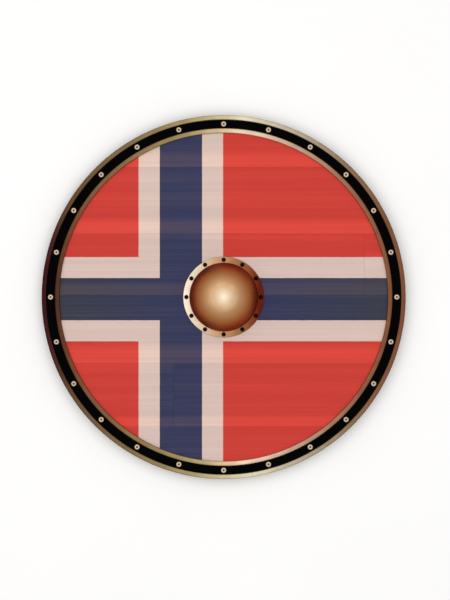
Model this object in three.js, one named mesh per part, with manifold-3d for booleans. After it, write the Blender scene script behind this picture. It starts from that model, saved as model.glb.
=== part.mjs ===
// A round wooden shield lying on its back. Six boards stand edge to edge. A bronze channel with a black leather
// band closes their edge, a hollow bronze boss covers the hand hole, and a grip bar and two battens cross the back.
//
// Frame: millimetres. +Z points out of the painted face, +Y to the top of the painted cross, +X to its right.
// The origin is on the ground under the centre of the shield, which rests on its two battens.

import * as THREE from "three";
import { mergeVertices } from "three/addons/utils/BufferGeometryUtils.js";
import Module from "manifold-3d";

// ---- driving dimensions ----

const SHIELD_RADIUS = 400;
const ROUND_SIDES = 60; // facets of everything as large as the shield
const FIT_GAP = 0.3; // between pieces that sit in or against each other

// Boards: six across, counted from the top, with a full-width butt joint in two of them.
const BOARD_THICKNESS = 10;
const BOARD_SEAMS_Y = [286, 139.5, 4.5, -146, -284.5];
const BUTT_JOINTS_X = { board_3: 310, board_5: -110 };
const EASED_EDGE = 0.6; // chamfer along the front of every seam
const HAND_HOLE_RADIUS = 64;
const HAND_HOLE_SIDES = 32;

// Rim: a channel folded round the boards' edge, with a raised border on each side of the leather band.
const BORDER_WIDTH = 10;
const LEATHER_WIDTH = 19;
const SHEET = 1.5; // thickness of the channel's metal on the face and behind
const EDGE_WALL = 2;
const OUTER_BORDER_HEIGHT = 4;
const INNER_BORDER_HEIGHT = 3.5;
const BACK_LIP_WIDTH = 9;
const LEATHER_THICKNESS = 2.5;
const BORDER_SHOULDER = 2.2; // width of the sloping shoulder on each side of a border's flat crest
const SHOULDER_RISE = 0.55; // of a border's height, where its shoulders start
const LIP_CHAMFER = 1; // at the back corner of the channel

// Boss: a spun dome on a short neck, with a flat flange.
const FLANGE_RADIUS = 89;
const FLANGE_THICKNESS = 2;
const DOME_RADIUS = 75;
const DOME_RISE = 58; // from the top of the neck to the crown
const NECK_HEIGHT = 8; // from the boards' face to the foot of the dome
const BOSS_SHEET = 2;
const BOSS_SIDES = 36;
const DOME_STEPS = 6;

// Rivets: square shanks, clenched behind over square roves that are hammered to a low pyramid.
const SHANK = 4;
const ROVE = 11;
const CLENCH = 5; // side of the flattened end
const ROVE_HEIGHT = 2.2;
const RIM_RIVETS = 24;
const RIM_RIVET_CIRCLE = 380.5;
const RIM_RIVET_RADIUS = 6;
const RIM_RIVET_HEIGHT = 2.2;
const RIM_RIVET_FLOOR = 1; // of its sunk centre, above the leather
const BOSS_RIVETS = 12;
const BOSS_RIVET_CIRCLE = 82;
const BOSS_RIVET_RADIUS = 4.5;
const BOSS_RIVET_HEIGHT = 2.8;
const RIVET_SIDES = 8;
const HEAD_OVERLAP = 0.5; // how far a shank runs up into its head

// Back: two battens that the shield lies on, and the grip bar between them.
const BATTEN_THICKNESS = 16;
const BATTEN_WIDTH = 36;
const BATTEN_TAPER = 45; // length of each thinned end
const BATTEN_END_THICKNESS = 6;
const BATTEN_RIVET_ANGLE = 60; // each batten runs between the rim rivets at this angle and its mirror image

// ---- levels and radii that follow ----

const BACK_Z = BATTEN_THICKNESS;
const FACE_Z = BACK_Z + BOARD_THICKNESS;
const CHANNEL_FLOOR_Z = FACE_Z + SHEET;
const LEATHER_TOP_Z = CHANNEL_FLOOR_Z + LEATHER_THICKNESS;
const FLANGE_TOP_Z = FACE_Z + FLANGE_THICKNESS;
const CHANNEL_OUTER = SHIELD_RADIUS - BORDER_WIDTH;
const CHANNEL_INNER = CHANNEL_OUTER - LEATHER_WIDTH;
const RIM_INNER = CHANNEL_INNER - BORDER_WIDTH;
const LIP_INNER = SHIELD_RADIUS - BACK_LIP_WIDTH;
const BOARD_RADIUS = SHIELD_RADIUS - EDGE_WALL - FIT_GAP;
const BAR_REACH = LIP_INNER - FIT_GAP; // battens and grip bar end on this radius, inside the lip
const BATTEN_X = RIM_RIVET_CIRCLE * Math.cos(THREE.MathUtils.degToRad(BATTEN_RIVET_ANGLE));
const BATTEN_RIVET_Y = RIM_RIVET_CIRCLE * Math.sin(THREE.MathUtils.degToRad(BATTEN_RIVET_ANGLE));
const BATTEN_THIN_FROM = BATTEN_RIVET_Y - ROVE; // the thin ends leave the roves room
const BATTEN_END_Z = BACK_Z - BATTEN_END_THICKNESS;
const TALL = 200; // height of cutting tools, past every piece

// ---- materials ----

const PAINTED_WOOD = new THREE.MeshStandardMaterial({ color: 0xcb4138, roughness: 0.6, metalness: 0 });
const BARE_WOOD = new THREE.MeshStandardMaterial({ color: 0xa9805a, roughness: 0.75, metalness: 0 });
const BRONZE = new THREE.MeshStandardMaterial({ color: 0xa5865a, roughness: 0.35, metalness: 1 });
const COPPER_BRONZE = new THREE.MeshStandardMaterial({ color: 0xad7e55, roughness: 0.3, metalness: 1 });
const PALE_BRASS = new THREE.MeshStandardMaterial({ color: 0xdcc9a6, roughness: 0.35, metalness: 1 });
const BLACK_LEATHER = new THREE.MeshStandardMaterial({ color: 0x0a0908, roughness: 0.7, metalness: 0 });
const BLACK_IRON = new THREE.MeshStandardMaterial({ color: 0x120d0c, roughness: 0.5, metalness: 1 });

// ---- solids and geometries ----

const wasm = await Module();
wasm.setup();

// A closed geometry as a manifold-3d solid, for cutting and joining.
function solidOf(geometry) {
  const bare = geometry.clone();
  bare.deleteAttribute("normal");
  bare.deleteAttribute("uv");
  const merged = mergeVertices(bare, 1e-4);
  const vertProperties = merged.attributes.position.array;
  const triVerts = new Uint32Array(merged.index.array);
  return new wasm.Manifold(new wasm.Mesh({ numProp: 3, vertProperties, triVerts }));
}

function geometryOf(solid) {
  const { vertProperties, triVerts } = solid.getMesh();
  const geometry = new THREE.BufferGeometry();
  geometry.setAttribute("position", new THREE.BufferAttribute(vertProperties, 3));
  geometry.setIndex(new THREE.BufferAttribute(triVerts, 1));
  return geometry;
}

// A profile of [radius, height] pairs turned about Z.
function turned(profile, sides) {
  const points = profile.map(([radius, height]) => new THREE.Vector2(radius, height));
  return new THREE.LatheGeometry(points, sides).rotateX(Math.PI / 2);
}

// The same for a profile that doesn't reach the axis: it closes on itself.
function turnedRing(profile, sides) {
  return turned([...profile, profile[0]], sides);
}

function disc(radius, low, high, sides) {
  return new THREE.CylinderGeometry(radius, radius, high - low, sides)
    .rotateX(Math.PI / 2)
    .translate(0, 0, (low + high) / 2);
}

// A section of [y, z] pairs, extruded along X from one x to another.
function extrudedAlongX(section, fromX, toX) {
  const shape = new THREE.Shape(section.map(([y, z]) => new THREE.Vector2(y, z)));
  const geometry = new THREE.ExtrudeGeometry(shape, { depth: toX - fromX, bevelEnabled: false });
  // ExtrudeGeometry builds (y, z, depth): turn its axes to (x, y, z) = (depth, y, z).
  const axes = new THREE.Matrix4().set(0, 0, 1, fromX, 1, 0, 0, 0, 0, 1, 0, 0, 0, 0, 0, 1);
  return geometry.applyMatrix4(axes);
}

// A skin through rings of points, each ring with as many points as the next, closed by a fan at both ends.
function lofted(rings) {
  const count = rings[0].length;
  const positions = rings.flat().flat();
  const index = [];
  for (let r = 0; r < rings.length - 1; r++) {
    for (let i = 0; i < count; i++) {
      const a = r * count + i;
      const b = r * count + ((i + 1) % count);
      index.push(a, b, b + count, a, b + count, a + count);
    }
  }
  const last = (rings.length - 1) * count;
  for (let i = 1; i < count - 1; i++) {
    index.push(0, i + 1, i);
    index.push(last, last + i, last + i + 1);
  }
  const geometry = new THREE.BufferGeometry();
  geometry.setAttribute("position", new THREE.Float32BufferAttribute(positions, 3));
  geometry.setIndex(index);
  return geometry;
}

// ---- rivets ----

// The places of a ring of rivets, counted anticlockwise from +X.
function rivetRing(count, radius) {
  return Array.from({ length: count }, (_, i) => {
    const angle = (2 * Math.PI * i) / count;
    return { angle, x: radius * Math.cos(angle), y: radius * Math.sin(angle) };
  });
}

const rimRivetPlaces = rivetRing(RIM_RIVETS, RIM_RIVET_CIRCLE);
const bossRivetPlaces = rivetRing(BOSS_RIVETS, BOSS_RIVET_CIRCLE);

// The square holes for every shank, as one cutting tool.
function shankHoles() {
  const side = SHANK + 2 * FIT_GAP;
  return [...rimRivetPlaces, ...bossRivetPlaces]
    .map(({ angle, x, y }) => {
      const hole = new THREE.BoxGeometry(side, side, TALL).rotateZ(angle).translate(x, y, 0);
      return solidOf(hole);
    })
    .reduce((all, hole) => all.add(hole));
}

const HOLES = shankHoles();

// A head on the surface at headZ, and its square shank down to a rove under seatZ, as one solid about Z.
function rivetSolid(headProfile, headZ, seatZ) {
  const raised = headProfile.map(([radius, height]) => [radius, headZ + height]);
  const head = turned(raised, RIVET_SIDES);
  const shankTop = headZ + HEAD_OVERLAP;
  const shankBottom = seatZ - ROVE_HEIGHT / 2; // inside the rove
  const shankMiddle = (shankTop + shankBottom) / 2;
  const shank = new THREE.BoxGeometry(SHANK, SHANK, shankTop - shankBottom).translate(0, 0, shankMiddle);
  const rove = new THREE.CylinderGeometry(ROVE / Math.SQRT2, CLENCH / Math.SQRT2, ROVE_HEIGHT, 4)
    .rotateY(Math.PI / 4)
    .rotateX(Math.PI / 2)
    .translate(0, 0, seatZ - ROVE_HEIGHT / 2);
  return solidOf(head).add(solidOf(shank)).add(solidOf(rove));
}

// Head profiles in [radius, height] pairs. A rim rivet's is a ring round a sunk centre, and a boss rivet's a dome.
const RIM_HEAD = [
  [0, 0],
  [RIM_RIVET_RADIUS, 0],
  [RIM_RIVET_RADIUS, 0.4 * RIM_RIVET_HEIGHT],
  [0.75 * RIM_RIVET_RADIUS, RIM_RIVET_HEIGHT],
  [0.5 * RIM_RIVET_RADIUS, RIM_RIVET_HEIGHT],
  [0.32 * RIM_RIVET_RADIUS, RIM_RIVET_FLOOR],
  [0, RIM_RIVET_FLOOR],
];
const BOSS_HEAD = [
  [0, 0],
  [BOSS_RIVET_RADIUS, 0],
  [0.8 * BOSS_RIVET_RADIUS, 0.65 * BOSS_RIVET_HEIGHT],
  [0, BOSS_RIVET_HEIGHT],
];

// What a rivet is clenched on: the back of the boards, or of the bar that crosses there.
function seatUnder(bars, { x, y }) {
  const bar = bars.find(({ covers }) => covers(x));
  return bar ? bar.undersideAt(y) : BACK_Z;
}

function rivets(prefix, places, headProfile, headZ, bars, material) {
  return places.map((place, i) => {
    const solid = rivetSolid(headProfile, headZ, seatUnder(bars, place));
    const mesh = new THREE.Mesh(geometryOf(solid), material);
    mesh.name = `${prefix}_${String(i + 1).padStart(2, "0")}`;
    mesh.position.set(place.x, place.y, 0);
    mesh.rotation.z = place.angle;
    return mesh;
  });
}

// ---- boards ----

// One board's length of strip, eased along the front of its two long edges.
function boardStrip(lowY, highY, fromX, toX) {
  const low = lowY + FIT_GAP / 2;
  const high = highY - FIT_GAP / 2;
  const section = [
    [low, BACK_Z],
    [high, BACK_Z],
    [high, FACE_Z - EASED_EDGE],
    [high - EASED_EDGE, FACE_Z],
    [low + EASED_EDGE, FACE_Z],
    [low, FACE_Z - EASED_EDGE],
  ];
  return extrudedAlongX(section, fromX, toX);
}

function boards() {
  const round = solidOf(disc(BOARD_RADIUS, BACK_Z, FACE_Z, ROUND_SIDES));
  const handHole = solidOf(disc(HAND_HOLE_RADIUS, 0, TALL, HAND_HOLE_SIDES));
  const edges = [SHIELD_RADIUS, ...BOARD_SEAMS_Y, -SHIELD_RADIUS];
  return BOARD_SEAMS_Y.concat(-SHIELD_RADIUS).flatMap((lowY, i) => {
    const name = `board_${i + 1}`;
    const joint = BUTT_JOINTS_X[name];
    const lengths =
      joint === undefined
        ? [[name, -SHIELD_RADIUS, SHIELD_RADIUS]]
        : [
            [`${name}_left`, -SHIELD_RADIUS, joint - FIT_GAP / 2],
            [`${name}_right`, joint + FIT_GAP / 2, SHIELD_RADIUS],
          ];
    return lengths.map(([lengthName, fromX, toX]) => {
      const strip = solidOf(boardStrip(lowY, edges[i], fromX, toX));
      const solid = strip.intersect(round).subtract(handHole).subtract(HOLES);
      const mesh = new THREE.Mesh(geometryOf(solid), PAINTED_WOOD);
      mesh.name = lengthName;
      return mesh;
    });
  });
}

// ---- rim ----

// A raised border with a flat crest and sloping shoulders, from its outer radius to its inner one.
function border(outer, inner, height) {
  const shoulderZ = CHANNEL_FLOOR_Z + SHOULDER_RISE * height;
  const crestZ = CHANNEL_FLOOR_Z + height;
  return [
    [outer, shoulderZ],
    [outer - BORDER_SHOULDER, crestZ],
    [inner + BORDER_SHOULDER, crestZ],
    [inner, shoulderZ],
  ];
}

function rimChannel() {
  const wall = SHIELD_RADIUS - EDGE_WALL;
  const lipZ = BACK_Z - SHEET;
  const profile = [
    [RIM_INNER, FACE_Z],
    [wall, FACE_Z],
    [wall, BACK_Z],
    [LIP_INNER, BACK_Z],
    [LIP_INNER, lipZ],
    [SHIELD_RADIUS - LIP_CHAMFER, lipZ],
    [SHIELD_RADIUS, lipZ + LIP_CHAMFER],
    ...border(SHIELD_RADIUS, CHANNEL_OUTER, OUTER_BORDER_HEIGHT),
    [CHANNEL_OUTER, CHANNEL_FLOOR_Z],
    [CHANNEL_INNER, CHANNEL_FLOOR_Z],
    ...border(CHANNEL_INNER, RIM_INNER, INNER_BORDER_HEIGHT),
  ];
  const solid = solidOf(turnedRing(profile, ROUND_SIDES)).subtract(HOLES);
  const mesh = new THREE.Mesh(geometryOf(solid), BRONZE);
  mesh.name = "rim_channel";
  return mesh;
}

function leatherBand() {
  const outer = CHANNEL_OUTER - FIT_GAP;
  const inner = CHANNEL_INNER + FIT_GAP;
  const profile = [
    [inner, CHANNEL_FLOOR_Z],
    [outer, CHANNEL_FLOOR_Z],
    [outer, LEATHER_TOP_Z],
    [inner, LEATHER_TOP_Z],
  ];
  const solid = solidOf(turnedRing(profile, ROUND_SIDES)).subtract(HOLES);
  const mesh = new THREE.Mesh(geometryOf(solid), BLACK_LEATHER);
  mesh.name = "rim_leather_band";
  return mesh;
}

// ---- boss ----

// A quarter ellipse from the foot of the dome, or from its crown, in [radius, height] pairs.
function domeCurve(radius, rise) {
  return Array.from({ length: DOME_STEPS + 1 }, (_, i) => {
    const turn = (Math.PI / 2) * (i / DOME_STEPS);
    const onAxis = i === DOME_STEPS;
    return [onAxis ? 0 : radius * Math.cos(turn), FACE_Z + NECK_HEIGHT + rise * Math.sin(turn)];
  });
}

function boss() {
  const inside = DOME_RADIUS - BOSS_SHEET;
  const profile = [
    ...domeCurve(inside, DOME_RISE - BOSS_SHEET).reverse(),
    [inside, FACE_Z],
    [FLANGE_RADIUS, FACE_Z],
    [FLANGE_RADIUS, FLANGE_TOP_Z],
    [DOME_RADIUS, FLANGE_TOP_Z],
    ...domeCurve(DOME_RADIUS, DOME_RISE),
  ];
  const solid = solidOf(turned(profile, BOSS_SIDES)).subtract(HOLES);
  const mesh = new THREE.Mesh(geometryOf(solid), COPPER_BRONZE);
  mesh.name = "boss";
  return mesh;
}

// ---- battens and grip bar ----

const barEnds = solidOf(disc(BAR_REACH, -TALL, TALL, ROUND_SIDES));

// A batten is flat on the ground and rises over BATTEN_TAPER to a thin end at each rivet.
function batten(name, x) {
  const flat = BATTEN_THIN_FROM - BATTEN_TAPER;
  const section = [
    [-SHIELD_RADIUS, BATTEN_END_Z],
    [-BATTEN_THIN_FROM, BATTEN_END_Z],
    [-flat, 0],
    [flat, 0],
    [BATTEN_THIN_FROM, BATTEN_END_Z],
    [SHIELD_RADIUS, BATTEN_END_Z],
    [SHIELD_RADIUS, BACK_Z],
    [-SHIELD_RADIUS, BACK_Z],
  ];
  const bar = solidOf(extrudedAlongX(section, x - BATTEN_WIDTH / 2, x + BATTEN_WIDTH / 2));
  const mesh = new THREE.Mesh(geometryOf(bar.intersect(barEnds).subtract(HOLES)), BARE_WOOD);
  mesh.name = name;
  return mesh;
}

// The grip bar's stations from its middle to one end: y, half width, underside, top, and bevel of its edges.
// It swells into a round handle across the hand hole, and lies flat on the boards beyond it.
const GRIP_STATIONS = [
  { y: 0, half: 17, under: 3, top: 24, bevel: 7 },
  { y: 46, half: 15, under: 3.5, top: 23, bevel: 6 },
  { y: 58, half: 19, under: 4, top: BACK_Z, bevel: 3 },
  { y: 110, half: 21, under: 4, top: BACK_Z, bevel: 3 },
  { y: 350, half: 14, under: 10, top: BACK_Z, bevel: 1.5 },
  { y: SHIELD_RADIUS, half: 13, under: 10, top: BACK_Z, bevel: 1.5 },
];

function gripRing({ y, half, under, top, bevel }) {
  return [
    [half - bevel, y, under],
    [bevel - half, y, under],
    [-half, y, under + bevel],
    [-half, y, top - bevel],
    [bevel - half, y, top],
    [half - bevel, y, top],
    [half, y, top - bevel],
    [half, y, under + bevel],
  ];
}

function gripBar() {
  const mirrored = GRIP_STATIONS.slice(1).reverse().map((station) => ({ ...station, y: -station.y }));
  const rings = [...mirrored, ...GRIP_STATIONS].map(gripRing);
  const solid = solidOf(lofted(rings)).intersect(barEnds).subtract(HOLES);
  const mesh = new THREE.Mesh(geometryOf(solid), BARE_WOOD);
  mesh.name = "grip_bar";
  return mesh;
}

// The height of the grip bar's underside at any place along it but its middle.
function gripUnderside(y) {
  const away = Math.abs(y);
  const next = GRIP_STATIONS.findIndex((station) => station.y >= away);
  const [a, b] = [GRIP_STATIONS[next - 1], GRIP_STATIONS[next]];
  return THREE.MathUtils.mapLinear(away, a.y, b.y, a.under, b.under);
}

// The bars that rivets go through, by the x of the rivets' places.
const BARS = [
  { covers: (x) => Math.abs(x) < SHANK, undersideAt: gripUnderside },
  { covers: (x) => Math.abs(Math.abs(x) - BATTEN_X) < SHANK, undersideAt: () => BATTEN_END_Z },
];

// ---- the shield ----

const shield = new THREE.Group();
shield.add(
  ...boards(),
  rimChannel(),
  leatherBand(),
  ...rivets("rim_rivet", rimRivetPlaces, RIM_HEAD, LEATHER_TOP_Z, BARS, PALE_BRASS),
  boss(),
  ...rivets("boss_rivet", bossRivetPlaces, BOSS_HEAD, FLANGE_TOP_Z, BARS, BLACK_IRON),
  batten("batten_left", -BATTEN_X),
  batten("batten_right", BATTEN_X),
  gripBar(),
);

export default shield;
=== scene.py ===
"""A round wooden shield lying on its back, seen from straight above.

Six painted boards, a bronze rim with a leather band under ring-headed rivets, a spun bronze boss held by
iron rivets, and behind them a grip bar and two battens. Lengths are in metres. +Z points out of the painted
face and +Y to the top of the cross.
"""

import math
import random

import bpy
from mathutils import Matrix, Vector, noise


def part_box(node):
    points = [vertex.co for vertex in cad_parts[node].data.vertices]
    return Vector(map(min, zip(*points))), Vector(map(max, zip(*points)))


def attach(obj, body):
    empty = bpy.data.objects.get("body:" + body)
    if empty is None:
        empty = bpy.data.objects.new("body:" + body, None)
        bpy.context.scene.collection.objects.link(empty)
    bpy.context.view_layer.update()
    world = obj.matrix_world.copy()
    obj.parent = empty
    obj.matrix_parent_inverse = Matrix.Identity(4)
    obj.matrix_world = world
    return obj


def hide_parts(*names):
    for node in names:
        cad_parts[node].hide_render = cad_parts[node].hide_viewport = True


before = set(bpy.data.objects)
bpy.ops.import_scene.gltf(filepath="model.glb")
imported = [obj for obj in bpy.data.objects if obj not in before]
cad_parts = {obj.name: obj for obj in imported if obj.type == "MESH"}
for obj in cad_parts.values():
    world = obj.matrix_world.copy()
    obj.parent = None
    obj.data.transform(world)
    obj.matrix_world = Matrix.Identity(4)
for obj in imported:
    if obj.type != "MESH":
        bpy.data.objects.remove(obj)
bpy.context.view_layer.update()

MM = 0.001

# ---- sizes taken from the frame ----

RIM_LOW, RIM_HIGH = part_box("rim_channel")
RADIUS = RIM_HIGH.x
LIP_Z = RIM_LOW.z
CREST_Z = RIM_HIGH.z
BACK_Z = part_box("board_4")[0].z
FACE_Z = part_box("board_4")[1].z
CAD_SEAM_GAP = 0.3 * MM  # between the solids of two boards
BOARD_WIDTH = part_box("board_2")[1].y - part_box("board_2")[0].y + CAD_SEAM_GAP
BAND_FLOOR_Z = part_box("rim_leather_band")[0].z
BAND_TOP_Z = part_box("rim_leather_band")[1].z
BOSS_LOW, BOSS_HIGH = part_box("boss")
FLANGE_RADIUS = BOSS_HIGH.x
CROWN_Z = BOSS_HIGH.z

# ---- driving dimensions ----

# Boards
BOARD_REACH = RADIUS - 2.3 * MM  # they end inside the channel's wall
HAND_HOLE = 64 * MM
SEAM_GAP = 0.06 * MM
BUTT_GAP = 0.1 * MM
SEAM_EASE = 0.35 * MM  # rounding along the front of every seam
BACK_EASE = 1.4 * MM  # and along the back
ROW_STEP = 1.6 * MM  # of the mesh, across the grain
COLUMNS = 40  # of the mesh, along each span of a board
GRAIN_DEPTH = 0.06 * MM
CUP_DEPTH = 0.2 * MM  # how far a board's edges lie below its middle
BROAD_GRAIN = (3, 95, 0)  # the relief of the face, in bumps per metre along each axis
FINE_GRAIN = (9, 400, 0)
ADZE_MARKS = (14, 22, 0)  # and of the back
BACK_GRAIN = (5, 260, 0)
ADZE_SEED = 40  # added to a board's number, so that its back isn't like its face
BACK_SEED = 50

# Rim
BORDER = 10 * MM
LEATHER = 19 * MM
BORDER_OUT = RADIUS - BORDER
BORDER_IN = BORDER_OUT - LEATHER
RIM_IN = BORDER_IN - BORDER
INNER_CREST_Z = CREST_Z - 0.5 * MM
SHOULDER = 2.2 * MM  # width of the round shoulder on each side of a border's crest
SHOULDER_RISE = 0.55  # of a border's height, where its shoulders start
CREST_SWELL = 0.12 * MM  # how far the crest's middle rises over its edges
CREST_STEPS = 8  # along each shoulder and along the crest between them
CHANNEL_WALL = 2 * MM
LIP_WIDTH = 9 * MM
LIP_BEVEL = 0.4 * MM
LIP_ROUND = 1 * MM
RIM_TURNS = 360  # steps of the mesh around the shield
BEATEN = 0.05 * MM  # the most that the bronze's surface stands back, inward and down
BAND_FIT = 0.3 * MM  # of air between the leather and each border
BAND_EASE = 0.9 * MM  # rounding of the leather's two upper edges
BAND_STEPS = 8  # across the leather
PULLED = 0.35 * MM  # how far a rivet pulls the leather down
UNEVEN = 0.12 * MM  # how far its surface swells and sinks all over

# Boss
DOME = 75 * MM
NECK_Z = BOSS_LOW.z + 8 * MM
FLANGE_Z = BOSS_LOW.z + 2 * MM
SHEET = 2 * MM
FILLET = 1.4 * MM
FLANGE_ROUND = 0.7 * MM
FLANGE_FALL = 0.25 * MM  # the flange's top falls this much to its edge
DENTS = 0.16 * MM  # no dent of use is deeper
BOSS_TURNS = 192
DOME_STEPS = 36

# Rivets
RIM_RIVETS = 24
BOSS_RIVETS = 12
BOSS_CIRCLE = 82 * MM  # that their middles stand on
SHANK = 4 * MM  # side of a rivet's square shank
ROVE = 11 * MM  # side of the square plate that the shank is clenched over, behind
ROVE_HEIGHT = 2.2 * MM
CLENCH = 5 * MM  # side of the hammered end
CLENCH_EASE = 0.3 * MM  # rounding of the rove and the hammered end
HEAD_TURNS = 32
HEAD_EDGE = 0.4 * MM  # height of a head's upright edge
LEANS = (0.005, 0.02)  # the least and the most that a head leans, as its rise over its run
UNDER_HEAD = 0.03 * MM  # from a shank's upper corners to its head's underside
RIM_HEAD = 6 * MM  # radius of a rim rivet's head
RIM_HEAD_HEIGHT = 2.2 * MM
HOLLOW = 1.8 * MM  # radius of the floor of a rim rivet's sunk centre
HOLLOW_Z = 0.9 * MM  # and its height over the leather
TARNISHED = 2.4 * MM  # radius that the old tarnish reaches round it
BOSS_HEAD = 4.5 * MM  # radius of a boss rivet's head
BOSS_HEAD_HEIGHT = 2.8 * MM
STAIN_AND_SHADOW = 1.5 * MM  # how far dirt and painted shadow spread round a boss rivet's head

# Back
BATTEN_TAPER = 45 * MM  # the length over which a batten thins towards each end
BATTEN_END_Z = BACK_Z - 6 * MM  # underside of its thin ends
BATTEN_RIVET = "rim_rivet_05"  # one of the four that hold the battens' ends
BATTEN_STEPS = 70  # of the mesh, along a batten
BAR_ROUND = 2.5 * MM  # rounding of a batten's corners
CORNER_STEPS = 5  # of the mesh, along each rounded corner of a bar
WEAR = 0.12 * MM  # the most that use has taken off a bar
GRIP_STEPS = 90  # of the mesh, along the grip bar
GRIP_END = 4 * MM  # length of each of its ends, which are cut to the shield's round
HANDLE_FINE = 20 * MM  # from its middle to where the mesh is finer, round the handle's ends
HANDLE_STEP = 1.5 * MM  # of the finer mesh
HANDLE_STEPS = 32

# The painted cross: the edges of its white borders, with its blue arms between the middle two.
CROSS_X = [-187.2 * MM, -140.7 * MM, -47.5 * MM, -1.4 * MM]
CROSS_Y = [-97.2 * MM, -51.1 * MM, 42 * MM, 88 * MM]
PAINT_EDGE = 0.15 * MM  # half the width over which one paint gives way to the next
# The width of the pale strip along each board's lower edge.
PALE_STRIPS = {
    "board_1": 30 * MM,
    "board_2": 31 * MM,
    "board_3": 24 * MM,
    "board_4": 35 * MM,
    "board_5": 20 * MM,
    "board_6": 5 * MM,
}

# The camera looks straight down from well above, a little right of and below the shield's middle.
LENS = 100
SENSOR = 36  # its longer side, which lies along the frame's height
VIEW_HEIGHT = 1318 * MM  # what the frame takes in from top to bottom
AIM = (2.9 * MM, -6.4 * MM)

# One large soft light overhead, in metres and watts, and the strength of the pale surround.
LIGHT_PLACE = (-0.15, 0.15, 2.6)
LIGHT_SIZE = 4.8
LIGHT_POWER = 55
SURROUND = 0.6
FLOOR_REACH = 12
FLOOR_Z = -0.2 * MM  # just under the shield


# ---- mesh tools ----


def mesh_object(name, points, faces, slots=None):
    """An object in the scene. slots gives each face's material, or is left out where there is only one."""
    mesh = bpy.data.meshes.new(name)
    mesh.from_pydata([tuple(point) for point in points], [], faces)
    for index, polygon in enumerate(mesh.polygons):
        polygon.use_smooth = True
        polygon.material_index = slots[index] if slots else 0
    mesh.update()
    thing = bpy.data.objects.new(name, mesh)
    bpy.context.scene.collection.objects.link(thing)
    return thing


def mark(piece, name, values):
    """Gives each point of a piece a number, which its materials read by its name."""
    attribute = piece.data.attributes.new(name, "FLOAT", "POINT")
    attribute.data.foreach_set("value", values)


def finish_piece(piece, materials, nodes, sharp=35):
    """Dresses a piece, rides it on the root body and lets it stand for its CAD nodes.

    Edges that turn by more than sharp degrees stay sharp.
    """
    for material in materials:
        piece.data.materials.append(material)
    piece.data.set_sharp_from_angle(angle=math.radians(sharp))
    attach(piece, "root")
    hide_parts(*nodes)
    return piece


def without_repeats(corners):
    """The corners of a face, each only once, where two of them may have met."""
    return [corner for i, corner in enumerate(corners) if corner not in corners[:i]]


def turned(profile, turns, shift):
    """A solid of [radius, z] pairs turned about Z. A profile that doesn't reach the axis closes on itself.

    shift(point, step) gives a point's small departure from the true surface, at a step of the profile.
    The last of the three results is the step of the profile that each face starts from.
    """
    on_axis = [radius < 1e-7 for radius, _ in profile]
    points = []
    index = []
    for turn in range(turns):
        angle = 2 * math.pi * turn / turns
        row = []
        for step, (radius, z) in enumerate(profile):
            if on_axis[step] and turn:
                row.append(index[0][step])
                continue
            point = Vector((radius * math.cos(angle), radius * math.sin(angle), z))
            point += shift(point, step)
            row.append(len(points))
            points.append(point)
        index.append(row)
    steps = len(profile) - 1 if on_axis[0] and on_axis[-1] else len(profile)
    faces = []
    sources = []
    for turn in range(turns):
        here, there = index[turn], index[(turn + 1) % turns]
        for step in range(steps):
            after = (step + 1) % len(profile)
            face = without_repeats([here[step], there[step], there[after], here[after]])
            if len(face) > 2:
                faces.append(face)
                sources.append(step)
    return points, faces, sources


def arc(centre, radii, start, end, steps):
    """Points of an ellipse in [radius, z], from one angle to another in degrees."""
    angles = [math.radians(start + (end - start) * i / steps) for i in range(steps + 1)]
    return [(centre[0] + radii[0] * math.cos(a), centre[1] + radii[1] * math.sin(a)) for a in angles]


def lofted(rings):
    """A solid through rings of points, closed by a flat end at each end."""
    count = len(rings[0])
    points = [point for ring in rings for point in ring]
    faces = []
    for r in range(len(rings) - 1):
        for i in range(count):
            a = r * count + i
            b = r * count + (i + 1) % count
            faces.append([a, b, b + count, a + count])
    last = (len(rings) - 1) * count
    faces.append(list(reversed(range(count))))
    faces.append([last + i for i in range(count)])
    return points, faces


def relief(x, y, z, scale, seed=0):
    """Smooth noise from -1 to 1, with scale in bumps per metre along each axis."""
    return noise.noise(Vector((x * scale[0] + seed, y * scale[1], z * scale[2])))


# ---- material tools ----


def srgb(red, green, blue):
    """A screen colour, 0 to 255 a channel, as the linear colour that shaders take."""
    def linear(value):
        value /= 255
        return value / 12.92 if value <= 0.04045 else ((value + 0.055) / 1.055) ** 2.4

    return (linear(red), linear(green), linear(blue), 1)


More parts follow.
